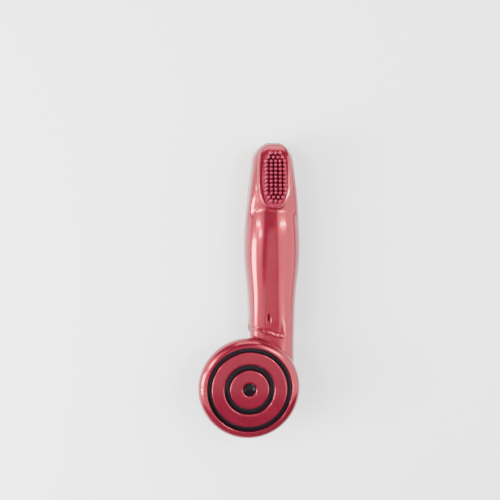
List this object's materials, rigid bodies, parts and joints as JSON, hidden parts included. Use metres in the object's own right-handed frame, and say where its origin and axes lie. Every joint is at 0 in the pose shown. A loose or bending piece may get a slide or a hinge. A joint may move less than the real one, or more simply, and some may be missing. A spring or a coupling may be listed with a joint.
{
  "type": "finger toothbrush",
  "caption": "Soft finger sleeve for brushing a pet's teeth: long oval bristle head on its tip, and a wide palm disc with inlaid rings on a flexible neck.",
  "frame": {"origin": "on the ground under the middle of the part's box, as the part lies on the flat back of its sleeve", "axes": "+Y along the sleeve towards its tip, +Z the bristle and palm side, +X to the right of the wearer's view of them"},
  "size_m": [0.0516, 0.148, 0.0268],
  "materials": {
    "sleeve_rubber": "glossy moulded rubber",
    "bristle_rubber": "satin moulded rubber",
    "disc_red": "polished moulding",
    "ring_black": "satin moulded rubber"
  },
  "bodies": {
    "sleeve": {"finger_sleeve": "sleeve_rubber", "brush_pad": "sleeve_rubber", "bristle_mat": "bristle_rubber"},
    "palm_disc": {"neck_web": "sleeve_rubber", "anchor_tongue": "sleeve_rubber", "disc_front_shell": "disc_red", "outer_grip_ring": "ring_black", "inner_grip_ring": "ring_black", "centre_button": "ring_black", "disc_back_cover": "disc_red"}
  },
  "joints": [
    {"name": "neck_flex", "type": "hinge", "parent": "sleeve", "child": "palm_disc", "pos_m": [0.0117, -0.0238, 0.0195], "axis": [-0.9578, 0.2873, 0], "range_deg": [-40, 60], "stiffness_Nm_per_rad": 0.15, "deforming": ["neck_web"]}
  ]
}
